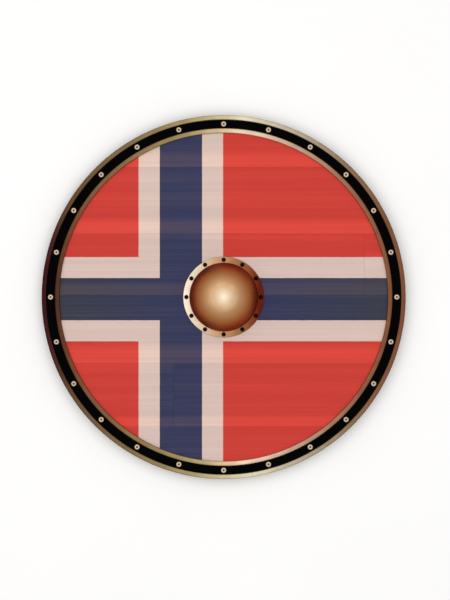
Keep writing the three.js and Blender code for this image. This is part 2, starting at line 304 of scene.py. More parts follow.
class Look:
    """A node material in the making. Its methods add nodes and return their output sockets."""

    def __init__(self, name, metallic=0.0, specular=0.5):
        self.material = bpy.data.materials.new(name)
        self.material.use_nodes = True
        self.tree = self.material.node_tree
        self.shader = self.tree.nodes["Principled BSDF"]
        self.shader.inputs["Metallic"].default_value = metallic
        self.shader.inputs["Specular IOR Level"].default_value = specular
        self.place = self.tree.nodes.new("ShaderNodeTexCoord").outputs["Object"]
        split = self.node("ShaderNodeSeparateXYZ", Vector=self.place)
        self.x, self.y, self.z = split.outputs

    def feed(self, socket, value):
        """Joins an output to a socket, or sets the socket to a value."""
        if isinstance(value, bpy.types.NodeSocket):
            self.tree.links.new(value, socket)
        else:
            socket.default_value = value

    def node(self, kind, settings=(), **inputs):
        """A node with its settings, its inputs fed by name."""
        made = self.tree.nodes.new(kind)
        for key, value in dict(settings).items():
            setattr(made, key, value)
        for key, value in inputs.items():
            self.feed(made.inputs[key], value)
        return made

    def calc(self, operation, *values):
        """The result of one sum on numbers."""
        made = self.tree.nodes.new("ShaderNodeMath")
        made.operation = operation
        for socket, value in zip(made.inputs, values):
            self.feed(socket, value)
        return made.outputs[0]

    def attribute(self, name):
        """The number that mark() gave to a piece's points by this name."""
        return self.node("ShaderNodeAttribute", {"attribute_name": name}).outputs["Fac"]

    def scaled(self, scale, shift=None):
        """The place, stretched so that noise has this many bumps a metre along each axis.

        It is moved by the number shift where pieces need to differ.
        """
        made = self.tree.nodes.new("ShaderNodeVectorMath")
        made.operation = "MULTIPLY"
        self.feed(made.inputs[0], self.place)
        made.inputs[1].default_value = scale
        if shift is None:
            return made.outputs[0]
        moved = self.tree.nodes.new("ShaderNodeVectorMath")
        self.feed(moved.inputs[0], made.outputs[0])
        self.feed(moved.inputs[1], shift)
        return moved.outputs[0]

    def polar(self, radial, around, up):
        """Coordinates that follow the turning of a round piece, so that noise on them makes rings."""
        angle = self.calc("ARCTAN2", self.y, self.x)
        made = self.node(
            "ShaderNodeCombineXYZ",
            X=self.calc("MULTIPLY", self.radius(), radial),
            Y=self.calc("MULTIPLY", self.calc("SINE", angle), around),
            Z=self.calc("ADD", self.calc("MULTIPLY", self.calc("COSINE", angle), around),
                        self.calc("MULTIPLY", self.z, up)),
        )
        return made.outputs[0]

    def radius(self):
        """The distance from the shield's axis."""
        return self.length(self.x, self.y)

    def length(self, along, across):
        """The distance that two sides at right angles span."""
        squares = [self.calc("MULTIPLY", value, value) for value in (along, across)]
        return self.calc("SQRT", self.calc("ADD", *squares))

    def noise(self, vector, detail=2.0, roughness=0.5, distortion=0.0):
        """Smooth noise from 0 to 1, with one bump to each unit of the vector."""
        made = self.node("ShaderNodeTexNoise", Vector=vector, Scale=1.0, Detail=detail, Roughness=roughness)
        made.inputs["Distortion"].default_value = distortion
        return made.outputs["Fac"]

    def mottle(self, scale, detail=3.0, roughness=0.5):
        """Noise with the same number of bumps a metre in every direction."""
        return self.noise(self.scaled((scale, scale, scale)), detail, roughness)

    def cells(self, vector):
        """The distance to the edges of irregular cells."""
        made = self.node("ShaderNodeTexVoronoi", {"feature": "DISTANCE_TO_EDGE"}, Vector=vector, Scale=1.0)
        return made.outputs["Distance"]

    def remap(self, value, low, high, to_low=0.0, to_high=1.0, soft=False):
        """A number moved from one range to another, and held within it."""
        made = self.node("ShaderNodeMapRange", {"interpolation_type": "SMOOTHSTEP" if soft else "LINEAR"})
        for key, number in (("From Min", low), ("From Max", high), ("To Min", to_low), ("To Max", to_high)):
            made.inputs[key].default_value = number
        self.feed(made.inputs["Value"], value)
        return made.outputs["Result"]

    def total(self, *parts):
        """The sum of numbers, each times its weight. parts are (number, weight)."""
        weighed = [self.calc("MULTIPLY", value, weight) for value, weight in parts]
        result = weighed[0]
        for value in weighed[1:]:
            result = self.calc("ADD", result, value)
        return result

    def between(self, value, low, high):
        """1 from low to high and 0 outside them, as paint lies between two edges."""
        rises = self.remap(value, low - PAINT_EDGE, low + PAINT_EDGE)
        falls = self.remap(value, high - PAINT_EDGE, high + PAINT_EDGE, 1, 0)
        return self.calc("MULTIPLY", rises, falls)

    def mix(self, factor, first, second, blend="MIX"):
        """The first colour at factor 0 and the second at 1.

        A mix node has sockets for each kind of value. Those for colours are known by their numbers.
        """
        made = self.tree.nodes.new("ShaderNodeMix")
        made.data_type = "RGBA"
        made.blend_type = blend
        for socket, value in ((0, factor), (6, first), (7, second)):
            self.feed(made.inputs[socket], value)
        return made.outputs[2]

    def shade(self, colour, amount):
        """A colour made darker or lighter by a number about 1."""
        grey = self.node("ShaderNodeCombineColor", Red=amount, Green=amount, Blue=amount).outputs[0]
        return self.mix(1.0, colour, grey, "MULTIPLY")

    def darkened(self, colour, mask, amount):
        """A colour made darker by the share amount where the mask is 1."""
        return self.shade(colour, self.calc("SUBTRACT", 1.0, self.calc("MULTIPLY", mask, amount)))

    def ramp(self, value, stops):
        """Colours along a number from 0 to 1. stops are (position, colour)."""
        made = self.node("ShaderNodeValToRGB", Fac=value)
        elements = made.color_ramp.elements
        while len(elements) < len(stops):
            elements.new(0.5)
        for element, (position, colour) in zip(elements, stops):
            element.position = position
            element.color = colour
        return made.outputs["Color"]

    def bump(self, height, depth):
        """Normals of a height from 0 to 1 over a depth in metres."""
        made = self.node("ShaderNodeBump", Height=height)
        made.inputs["Distance"].default_value = depth
        made.inputs["Strength"].default_value = 1.0
        return made.outputs["Normal"]

    def done(self, colour, roughness, normal=None):
        """The finished material."""
        self.feed(self.shader.inputs["Base Color"], colour)
        self.feed(self.shader.inputs["Roughness"], roughness)
        if normal is not None:
            self.feed(self.shader.inputs["Normal"], normal)
        return self.material


# ---- materials ----

# Each paint over the darker and over the paler part of a board.
RED = (srgb(197, 60, 52), srgb(220, 72, 60))
BLUE = (srgb(52, 56, 87), srgb(76, 69, 91))
GREYED_BLUE = (srgb(55, 58, 72), srgb(77, 71, 78))  # at both ends of the level arm
GREY_FROM = 100 * MM  # out from the shield's middle
WHITE = (srgb(210, 187, 178), srgb(229, 199, 185))
BRUSH_WOBBLE = 0.9 * MM  # twice the most that a painted edge strays
GRAIN_APART = 5.3  # how far apart in the noise two boards' grains lie


def painted_boards():
    """Thin matt paint, brushed along straight grain that shows through it."""
    look = Look("painted_boards", specular=0.08)
    shift = look.calc("MULTIPLY", look.attribute("board"), GRAIN_APART)

    def grain(along, across, detail=2.0):
        return look.noise(look.scaled((along, across, 0), shift), detail)

    # Where the cross is painted. Its edges stray as a brush does.
    hand = look.noise(look.scaled((55, 55, 0)))
    wobble = look.calc("MULTIPLY", look.calc("SUBTRACT", hand, 0.5), BRUSH_WOBBLE)
    x = look.calc("ADD", look.x, wobble)
    y = look.calc("ADD", look.y, wobble)
    blue = look.calc("MAXIMUM", look.between(x, *CROSS_X[1:3]), look.between(y, *CROSS_Y[1:3]))
    cross = look.calc("MAXIMUM", look.between(x, *CROSS_X[::3]), look.between(y, *CROSS_Y[::3]))

    # The wood's tone, 0 dark to 1 pale: the strip along the lower edge, and ever finer streaks all over.
    broad = grain(0.9, 42, detail=1.0)
    streaks = grain(1.4, 190)
    hairs = grain(2.2, 430)
    fine = grain(5, 900)
    edge = look.calc("ADD", look.attribute("strip"), look.remap(streaks, 0.3, 0.7, -0.1, 0.1))
    pale = look.remap(edge, 0.75, 1.25, 1, 0)
    tone = look.total((pale, 0.72), (look.remap(broad, 0.25, 0.75, -0.06, 0.34), 1))
    for lines, strength in ((streaks, 0.20), (hairs, 0.14), (fine, 0.14)):
        tone = look.calc("ADD", tone, look.remap(lines, 0.25, 0.75, -strength, strength))
    tone = look.calc("SUBTRACT", tone, look.remap(look.attribute("across"), 0.86, 1.0, 0, 0.16))

    thin = look.total((streaks, 0.5), (hairs, 0.5))

    def streaked(paint, amount):
        return look.shade(paint, look.remap(thin, 0.3, 0.7, 1 - amount, 1 + amount))

    greyed = look.remap(look.calc("ABSOLUTE", look.x), GREY_FROM, RIM_IN)
    blue_paint = look.mix(greyed, look.mix(tone, *BLUE), look.mix(tone, *GREYED_BLUE))
    colour = look.mix(tone, *RED)
    colour = look.mix(cross, colour, streaked(look.mix(tone, *WHITE), 0.03))
    colour = look.mix(blue, colour, streaked(blue_paint, 0.09))
    pores = look.remap(grain(26, 1500, detail=1.0), 0.66, 0.78)
    colour = look.darkened(colour, pores, 0.10)

    height = look.total((fine, 0.6), (streaks, 0.4), (pores, -0.6))
    roughness = look.remap(fine, 0.2, 0.8, 0.72, 0.58)
    return look.done(colour, roughness, look.bump(height, 0.10 * MM))


PIECES_APART = 7.1  # how far apart in the noise two pieces' grains lie
RING_COUNT = 13  # of growth rings, over the whole range of the noise


def bare_wood(name, along_y, pale, dark, aged):
    """Planed and oiled wood with growth rings drawn out along the grain, which runs along X or along Y.

    Each piece has its own grain and its own tone, by its number in the attribute "board".
    """
    look = Look(name, specular=0.25)
    shift = look.calc("MULTIPLY", look.attribute("board"), PIECES_APART)

    def grain(along, across, detail=2.0, distortion=0.0):
        scale = (across, along, across) if along_y else (along, across, across)
        return look.noise(look.scaled(scale, shift), detail, distortion=distortion)

    rings = grain(1.3, 26, distortion=0.6)
    lines = look.calc("FRACT", look.calc("MULTIPLY", rings, RING_COUNT))
    late = look.remap(lines, 0.55, 1.0, soft=True)  # the darker wood at the end of each year's growth
    fine = grain(9, 620)
    pores = look.remap(grain(22, 1300, detail=1.0), 0.62, 0.75)
    patches = look.mottle(9)

    colour = look.mix(look.calc("MULTIPLY", late, 0.55), pale, dark)
    colour = look.mix(look.remap(patches, 0.42, 0.72, 0, 0.45), colour, aged)
    colour = look.shade(colour, look.remap(fine, 0.2, 0.8, 0.86, 1.12))
    colour = look.darkened(colour, pores, 0.35)
    whole_number = look.calc("ROUND", look.attribute("board"))
    dice = look.node("ShaderNodeTexWhiteNoise", {"noise_dimensions": "1D"}, W=whole_number).outputs["Value"]
    colour = look.shade(colour, look.remap(dice, 0, 1, 0.84, 1.06))
    height = look.total((fine, 1), (late, 0.5), (pores, -1))
    roughness = look.remap(patches, 0.3, 0.7, 0.74, 0.58)
    return look.done(colour, roughness, look.bump(height, 0.14 * MM))


def tarnish(look, colour, amount, dulling=1.0):
    """Uneven tarnish over bronze: soft patches, small dark specks, and dulling of the whole.

    It gives the colour, and the patches for the roughness to follow.
    """
    patches = look.mottle(38, detail=4.0, roughness=0.6)
    specks = look.remap(look.mottle(760, detail=1.0), 0.68, 0.8)
    colour = look.shade(colour, look.remap(patches, 0.3, 0.7, dulling * (1 - amount), dulling * (1 + amount)))
    return look.darkened(colour, specks, 0.14), patches


# The rim's patina and painted highlight from its left side to its right, as its share of the shield's width:
# a painted highlight pales it towards the middle, and it darkens to the left and right.
RIM_PATINA_AND_PAINTED_HIGHLIGHT = [
    (0.00, srgb(58, 24, 25)),
    (0.03, srgb(68, 35, 33)),
    (0.08, srgb(99, 72, 50)),
    (0.15, srgb(109, 87, 62)),
    (0.25, srgb(130, 110, 74)),
    (0.40, srgb(160, 141, 97)),
    (0.50, srgb(203, 189, 152)),
    (0.56, srgb(224, 212, 182)),
    (0.70, srgb(180, 165, 141)),
    (0.85, srgb(133, 106, 78)),
    (0.95, srgb(125, 81, 58)),
    (1.00, srgb(126, 79, 56)),
]
# The inner border's patina and painted highlight, a little redder towards both sides.
INNER_PATINA_AND_PAINTED_HIGHLIGHT = [
    (0.00, srgb(80, 50, 39)),
    (0.05, srgb(112, 70, 46)),
    (0.10, srgb(124, 83, 56)),
    (0.20, srgb(133, 101, 67)),
    (0.35, srgb(154, 132, 89)),
    (0.42, srgb(172, 153, 108)),
    (0.50, srgb(214, 188, 151)),
    (0.56, srgb(231, 206, 177)),
    (0.70, srgb(194, 162, 138)),
    (0.80, srgb(164, 126, 101)),
    (0.90, srgb(143, 96, 71)),
    (1.00, srgb(126, 80, 54)),
]


def rim_bronze():
    """Satin bronze, brushed around the rim, with patina and a painted highlight that pales it towards the
    middle of the width.
    """
    look = Look("rim_bronze", metallic=1.0)
    on_inner = look.remap(look.radius(), BORDER_IN, BORDER_OUT, 1, 0)
    # Painted highlight and patina: the ramps pale the borders towards the middle of the width and darken them
    # to both sides.
    outer = look.ramp(look.remap(look.x, -RADIUS, RADIUS), RIM_PATINA_AND_PAINTED_HIGHLIGHT)
    inner = look.ramp(look.remap(look.x, -BORDER_IN, BORDER_IN), INNER_PATINA_AND_PAINTED_HIGHLIGHT)
    colour = look.mix(on_inner, outer, inner)
    brushed = look.noise(look.polar(1500, 9, 900), detail=2.0)
    colour, patches = tarnish(look, colour, 0.05, dulling=0.80)
    colour = look.shade(colour, look.remap(brushed, 0.2, 0.8, 0.96, 1.04))
    roughness = look.remap(patches, 0.3, 0.7, 0.52, 0.40)
    return look.done(colour, roughness, look.bump(brushed, 0.035 * MM))


# The dome's patina with painted light, from its crown, pale as a painted highlight, to its foot, dark as
# painted shade, as a share of its radius.
DOME_PATINA_AND_PAINTED_LIGHT = [
    (0.00, srgb(240, 222, 200)),
    (0.15, srgb(221, 198, 169)),
    (0.30, srgb(207, 173, 134)),
    (0.45, srgb(209, 161, 117)),
    (0.58, srgb(217, 158, 107)),
    (0.73, srgb(203, 128, 73)),
    (0.83, srgb(182, 104, 59)),
    (0.93, srgb(162, 65, 26)),
    (1.00, srgb(128, 36, 14)),
]
# The flange's patina and painted light from its left side to its right: pale at the left as if lit from
# there, dark at the right as painted shade.
FLANGE_PATINA_AND_PAINTED_LIGHT = [
    (0.00, srgb(250, 234, 206)),
    (0.05, srgb(238, 219, 195)),
    (0.17, srgb(217, 199, 172)),
    (0.38, srgb(199, 157, 122)),
    (0.62, srgb(163, 117, 75)),
    (0.83, srgb(129, 68, 36)),
    (0.94, srgb(92, 29, 19)),
    (1.00, srgb(90, 32, 24)),
]


def dirt_and_shadow_round_rivets(look):
    """Dirt and painted shadow close round each of the boss's rivets: 1 at a head's edge, falling to 0."""
    spacing = 2 * math.pi / BOSS_RIVETS
    angle = look.calc("ARCTAN2", look.y, look.x)
    nearest = look.calc("SNAP", look.calc("ADD", angle, spacing / 2), spacing)
    along = look.calc("MULTIPLY", look.calc("SUBTRACT", angle, nearest), BOSS_CIRCLE)
    across = look.calc("SUBTRACT", look.radius(), BOSS_CIRCLE)
    return look.remap(look.length(along, across), BOSS_HEAD, BOSS_HEAD + STAIN_AND_SHADOW, 1, 0)


def boss_bronze():
    """Spun copper-red bronze with fine turning lines. Patina with a painted highlight pales the crown,
    painted shade darkens the foot, and painted light pales the flange's left side and darkens its right.
    """
    look = Look("boss_bronze", metallic=1.0)
    radius = look.radius()
    # Painted highlight at the crown and painted shade at the foot, with patina, along the radius.
    dome = look.ramp(look.remap(radius, 0, DOME), DOME_PATINA_AND_PAINTED_LIGHT)
    # Painted light from the left on the flange, pale at its left and dark at its right, with patina.
    flange = look.ramp(look.remap(look.x, -FLANGE_RADIUS, FLANGE_RADIUS), FLANGE_PATINA_AND_PAINTED_LIGHT)
    on_flange = look.remap(radius, DOME + 0.2 * MM, DOME + 0.8 * MM)
    colour = look.mix(on_flange, dome, flange)
    turning = look.noise(look.polar(2400, 2.5, 1600), detail=2.0)
    colour, patches = tarnish(look, colour, 0.04, dulling=0.81)
    colour = look.shade(colour, look.remap(turning, 0.2, 0.8, 0.97, 1.03))
    # Painted shadow and dirt darken the flange round each rivet's head.
    colour = look.darkened(colour, dirt_and_shadow_round_rivets(look), 0.55)
    rubbed = look.remap(patches, 0.3, 0.7, 0.44, 0.34)
    to_foot = look.remap(radius, DOME * 0.7, DOME)
    unrubbed = look.calc("MULTIPLY", to_foot, look.remap(on_flange, 0, 1, 0.3, 0))
    return look.done(colour, look.calc("ADD", rubbed, unrubbed), look.bump(turning, 0.02 * MM))


def unpolished_bronze():
    """The boss's inside, as it came from the spinning, dull and brown."""
    look = Look("unpolished_bronze", metallic=1.0)
    turning = look.noise(look.polar(900, 2.5, 700), detail=3.0)
    colour, patches = tarnish(look, srgb(126, 88, 58), 0.18)
    roughness = look.remap(patches, 0.3, 0.7, 0.62, 0.48)
    return look.done(colour, roughness, look.bump(turning, 0.06 * MM))


def black_leather():
    """Oiled black leather with a fine pebbled grain, creased across the band and rubbed at its edges."""
    look = Look("black_leather", specular=0.02)
    pebbles = look.cells(look.scaled((900, 900, 900)))
    creases = look.noise(look.polar(60, 90, 0), detail=3.0)
    patches = look.mottle(30)
    middle = (BORDER_OUT + BORDER_IN) / 2
    off_middle = look.calc("ABSOLUTE", look.calc("SUBTRACT", look.radius(), middle))
    at_edges = look.remap(off_middle, LEATHER * 0.38, LEATHER * 0.5)
    rubbed = look.calc("MULTIPLY", at_edges, look.remap(patches, 0.5, 0.8))
    colour = look.mix(rubbed, srgb(2, 2, 2), srgb(20, 15, 13))
    height = look.total((pebbles, 0.8), (creases, 0.6))
    roughness = look.remap(patches, 0.3, 0.7, 0.82, 0.66)
    return look.done(colour, roughness, look.bump(height, 0.10 * MM))


def rivet_brass():
    """Pale brass, hand-hammered and rubbed bright."""
    look = Look("rivet_brass", metallic=1.0)
    colour, patches = tarnish(look, srgb(226, 205, 176), 0.07, dulling=0.70)
    hammered = look.mottle(420, detail=2.0)
    roughness = look.remap(patches, 0.3, 0.7, 0.46, 0.36)
    return look.done(colour, roughness, look.bump(hammered, 0.05 * MM))


def rivet_hollow():
    """Old brown tarnish in the sunk centre of a rivet, where nothing rubs."""
    look = Look("rivet_hollow", metallic=1.0)
    grime = look.mottle(900)
    colour = look.mix(look.remap(grime, 0.35, 0.65), srgb(138, 114, 82), srgb(98, 76, 50))
    return look.done(colour, look.remap(grime, 0.3, 0.7, 0.75, 0.6), look.bump(grime, 0.05 * MM))


def black_iron():
    """Blackened iron with a forged, faintly pitted skin."""
    look = Look("black_iron", metallic=0.1, specular=0.05)
    forged = look.mottle(330)
    pits = look.remap(look.mottle(1400, detail=1.0), 0.62, 0.74)
    colour = look.mix(look.remap(forged, 0.35, 0.75), srgb(14, 4, 3), srgb(26, 10, 8))
    height = look.total((forged, 1), (pits, -0.4))
    return look.done(colour, look.remap(forged, 0.3, 0.7, 0.62, 0.46), look.bump(height, 0.08 * MM))


# ---- boards ----


def spread(low, high, count):
    """Places from low to high, evenly but for a few close together at both ends, where an edge is eased."""
    ease = min(SEAM_EASE, (high - low) / 6)
    edge = [0, ease * 0.2, ease * 0.5]
    middle = [low + ease + (high - low - 2 * ease) * i / count for i in range(count + 1)]
    return [low + e for e in edge] + middle + [high - e for e in reversed(edge)]


def board_stem(name):
    """The board that a piece belongs to: a butt joint makes two pieces of one board."""
    return name.removesuffix("_left").removesuffix("_right")


def board_ends(name):
    """The two ends of a board's length along X: the shield's edge, or a butt joint with its other length."""
    stem = board_stem(name)
    if name == stem:
        return -RADIUS, RADIUS
    joint = (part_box(stem + "_left")[1].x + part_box(stem + "_right")[0].x) / 2
    return (-RADIUS, joint - BUTT_GAP / 2) if name.endswith("_left") else (joint + BUTT_GAP / 2, RADIUS)


def board_spans(y, ends):
    """The stretches of wood along X at a place across: two where the hand hole may part them."""
    half = math.sqrt(max(0, BOARD_REACH ** 2 - y ** 2))
    start, end = max(ends[0], -half), min(ends[1], half)
    if ends[0] < 0 < ends[1]:
        hole = math.sqrt(max(0, HAND_HOLE ** 2 - y ** 2))
        return [(start, -hole), (hole, end)]
    return [(start, max(start, end))]


def eased(distance, ease):
    """How far a surface has dropped at a distance from its edge, which is rounded by ease."""
    if distance >= ease:
        return 0
    return ease - math.sqrt(ease ** 2 - (ease - distance) ** 2)


def board_grid(rows, ends):
    """A board's face, seen from the front: its places in X and Y, and the faces between them."""
    index = {}
    places = []
    faces = []

    def place(x, y):
        key = (round(x, 7), round(y, 7))
        if key not in index:
            index[key] = len(places)
            places.append((x, y))
        return index[key]

    grid = [[[place(x, y) for x in spread(*span, COLUMNS)] for span in board_spans(y, ends)] for y in rows]
    for near, far in zip(grid, grid[1:]):
        for near_span, far_span in zip(near, far):
            for c in range(len(near_span) - 1):
                face = without_repeats([near_span[c], near_span[c + 1], far_span[c + 1], far_span[c]])
                if len(face) > 2:
                    faces.append(face)
    return places, faces


def board(name, number, materials):
    """A board, or one of its two lengths. The top and bottom boards end at the shield's round edge."""
    cad_low, cad_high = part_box(name)
    at_bottom = cad_low.y < -RIM_IN
    at_top = cad_high.y > RIM_IN
    closer = (CAD_SEAM_GAP - SEAM_GAP) / 2
    low = -BOARD_REACH if at_bottom else cad_low.y - closer
    high = BOARD_REACH if at_top else cad_high.y + closer
    nominal_low = high - BOARD_WIDTH if at_bottom else low
    ends = board_ends(name)
    rows = spread(low, high, round((high - low) / ROW_STEP))
    rows = sorted({*rows, *[y for y in (-HAND_HOLE, HAND_HOLE) if low < y < high]})
    places, faces = board_grid(rows, ends)

    def drop(x, y, ease):
        """Rounding at seams and butt joints. The shield's own edge is square, inside the channel."""
        to_edges = [x - ends[0], ends[1] - x]
        if not at_bottom:
            to_edges.append(y - low)
        if not at_top:
            to_edges.append(high - y)
        return eased(max(0, min(to_edges)), ease)

    def front(x, y):
        bow = (2 * (y - nominal_low) / BOARD_WIDTH - 1) ** 2
        grain = 0.6 * relief(x, y, 0, BROAD_GRAIN, number) + 0.4 * relief(x, y, 0, FINE_GRAIN, number)
        return FACE_Z - CUP_DEPTH * bow - GRAIN_DEPTH * (0.5 + 0.5 * grain) - drop(x, y, SEAM_EASE)

    def back(x, y):
        adze = relief(x, y, 0, ADZE_MARKS, number + ADZE_SEED)
        grain = 0.5 * relief(x, y, 0, BACK_GRAIN, number + BACK_SEED)
        return BACK_Z + GRAIN_DEPTH * (1.5 + (adze + grain)) + drop(x, y, BACK_EASE)

    count = len(places)
    points = [(x, y, front(x, y)) for x, y in places] + [(x, y, back(x, y)) for x, y in places]
    backs = [[p + count for p in reversed(face)] for face in faces]
    edges = {edge for face in faces for edge in zip(face, face[1:] + face[:1])}
    sides = sorted([b, a, a + count, b + count] for a, b in edges if (b, a) not in edges)
    slots = [0] * len(faces) + [1] * (len(backs) + len(sides))
    piece = mesh_object(name + "_wood", points, faces + backs + sides, slots)

    up = [y - nominal_low for _, y in places + places]
    mark(piece, "across", [distance / BOARD_WIDTH for distance in up])
    mark(piece, "strip", [distance / PALE_STRIPS[board_stem(name)] for distance in up])
    mark(piece, "board", [number] * len(up))
    return finish_piece(piece, materials, [name])


# ---- rim ----


def crest(outer, inner, height):
    """A border's section from its outer radius to its inner one: round shoulders and a nearly flat crest."""
    shoulder_z = BAND_FLOOR_Z + SHOULDER_RISE * (height - BAND_FLOOR_Z)
    radii = (SHOULDER, height - CREST_SWELL - shoulder_z)
    width = outer - inner - 2 * SHOULDER
    outside = arc((outer - SHOULDER, shoulder_z), radii, 0, 90, CREST_STEPS)
    flat = []
    for i in range(1, CREST_STEPS):
        swell = math.sin(math.pi * i / CREST_STEPS)
        flat.append((outer - SHOULDER - width * i / CREST_STEPS, height - CREST_SWELL * (1 - swell)))
    inside = arc((inner + SHOULDER, shoulder_z), radii, 90, 180, CREST_STEPS)
    return [*outside, *flat, *inside]


def rim_channel(material):
    """The bronze folded over the boards' edge: lip behind, wall, and the two borders in front."""
    wall = RADIUS - CHANNEL_WALL
    lip_in = RADIUS - LIP_WIDTH
    within = [(RIM_IN, FACE_Z), (wall, FACE_Z), (wall, BACK_Z), (lip_in, BACK_Z)]
    profile = [
        *within,
        (lip_in, LIP_Z + LIP_BEVEL),
        (lip_in + LIP_BEVEL, LIP_Z),
        *arc((RADIUS - LIP_ROUND, LIP_Z + LIP_ROUND), (LIP_ROUND, LIP_ROUND), -90, 0, 6),
        (RADIUS, (LIP_Z + CREST_Z) / 2),
        *crest(RADIUS, BORDER_OUT, CREST_Z),
        (BORDER_OUT, BAND_FLOOR_Z),
        (BORDER_IN, BAND_FLOOR_Z),
        *crest(BORDER_IN, RIM_IN, INNER_CREST_Z),
    ]

    def beaten(point, step):
        """The faint unevenness of metal beaten over a wooden edge, always inward, where it shows."""
        if step < len(within):
            return Vector()
        depth = abs(relief(*point, (45, 45, 45))) * BEATEN
        outward = Vector((point.x, point.y, 0)).normalized()
        return Vector((0, 0, -depth if point.z > BAND_FLOOR_Z else 0)) - outward * depth

    points, faces, _ = turned(profile, RIM_TURNS, beaten)
    piece = mesh_object("rim_bronze_channel", points, faces)
    return finish_piece(piece, [material], ["rim_channel"], sharp=50)


def leather_band(material):
    """The leather inlaid between the borders."""
    outer = BORDER_OUT - BAND_FIT
    inner = BORDER_IN + BAND_FIT
    width = outer - inner - 2 * BAND_EASE
    under = [(inner, BAND_FLOOR_Z), (outer, BAND_FLOOR_Z)]
    ease = (BAND_EASE, BAND_EASE)
    profile = [
        *under,
        *arc((outer - BAND_EASE, BAND_TOP_Z - BAND_EASE), ease, 0, 90, 4),
        *[(outer - BAND_EASE - width * i / BAND_STEPS, BAND_TOP_Z) for i in range(1, BAND_STEPS)],
        *arc((inner + BAND_EASE, BAND_TOP_Z - BAND_EASE), ease, 90, 180, 4),
    ]

    def drawn_down(point, step):
        """The leather is pulled down a little round each rivet, and is never quite even between them."""
        if step < len(under):
            return Vector()
        angle = math.atan2(point.y, point.x)
        spacing = 2 * math.pi / RIM_RIVETS
        to_rivet = abs((angle + spacing / 2) % spacing - spacing / 2) * BORDER_OUT
        pulled = PULLED * math.exp(-((to_rivet / BORDER) ** 2))
        uneven = UNEVEN * (1 + relief(*point, (60, 60, 60)))
        return Vector((0, 0, -(pulled + uneven) if point.z > BAND_FLOOR_Z + BAND_EASE else 0))

    points, faces, _ = turned(profile, RIM_TURNS * 2, drawn_down)
    piece = mesh_object("rim_leather", points, faces)
    return finish_piece(piece, [material], ["rim_leather_band"], sharp=60)


# ---- rivets ----


def round_ring(radius, z):
    """A circle of points for lofted()."""
    angles = [2 * math.pi * i / HEAD_TURNS for i in range(HEAD_TURNS)]
    return [Vector((radius * math.cos(a), radius * math.sin(a), z)) for a in angles]


def square_ring(side, z):
    """As many points on a square."""
    ring = round_ring(1, z)
    return [Vector((p.x, p.y, 0)) * (side / 2 / max(abs(p.x), abs(p.y))) + Vector((0, 0, z)) for p in ring]


def rivet(node, head, head_z, materials, dice, hollow=0):
    """A rivet of one piece: its clenched rove, square shank and head.

    head is [radius, height] pairs, edge first. Its faces within the radius hollow take the second material.
    """
    low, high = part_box(node)
    middle = (low + high) / 2
    seat = low.z + ROVE_HEIGHT
    rings = [
        square_ring(CLENCH - 2 * CLENCH_EASE, low.z),
        square_ring(CLENCH, low.z + CLENCH_EASE),
        square_ring(ROVE - 2 * CLENCH_EASE, seat - CLENCH_EASE),
        square_ring(ROVE, seat - CLENCH_EASE / 3),
        square_ring(ROVE, seat),
        square_ring(SHANK, seat),
        square_ring(SHANK, head_z - UNDER_HEAD),
        *[round_ring(radius, head_z + height) for radius, height in head],
    ]
    points, faces = lofted(rings)
    slots = []
    for face in faces:
        reach = max(math.hypot(points[p].x, points[p].y) for p in face)
        in_head = min(points[p].z for p in face) > head_z
        slots.append(1 if in_head and reach < hollow else 0)

    # A hammer's last blow leaves each head leaning a little its own way.
    edge = head[0][0]
    facing = Matrix.Rotation(math.atan2(middle.y, middle.x), 3, "Z")
    blow = Vector((dice.uniform(-1, 1), dice.uniform(-1, 1), 0)).normalized()
    lean = dice.uniform(*LEANS)
    centre = Vector((middle.x, middle.y, 0))
    placed = []
    for point in points:
        settled = facing @ point
        if point.z > head_z:
            settled.z -= lean * (edge + settled.dot(blow)) * min(1, (point.z - head_z) / HEAD_EDGE)
        placed.append(centre + settled)
    piece = mesh_object(node + "_nail", placed, faces, slots)
    return finish_piece(piece, materials, [node], sharp=50)


def ring_head():
    """A ring with a rounded top, round a sunk centre, in [radius, height] pairs."""
    ridge = 0.62 * RIM_HEAD
    outside = arc((ridge, HEAD_EDGE), (RIM_HEAD - ridge, RIM_HEAD_HEIGHT - HEAD_EDGE), 0, 90, 7)
    inside = arc((ridge, HOLLOW_Z), (ridge - HOLLOW, RIM_HEAD_HEIGHT - HOLLOW_Z), 90, 180, 6)
    return [(RIM_HEAD, 0), *outside, *inside[1:], (0.3 * HOLLOW, HOLLOW_Z)]


def domed_head():
    """Half an ellipse, in [radius, height] pairs."""
    return [(BOSS_HEAD, 0), *arc((0, HEAD_EDGE), (BOSS_HEAD, BOSS_HEAD_HEIGHT - HEAD_EDGE), 0, 84, 9)]


# ---- boss ----


def dome_curve(radius, rise):
    """A quarter ellipse from the foot of the dome to its crown, in [radius, z] pairs."""
    return arc((0, NECK_Z), (radius, rise), 0, 90, DOME_STEPS)


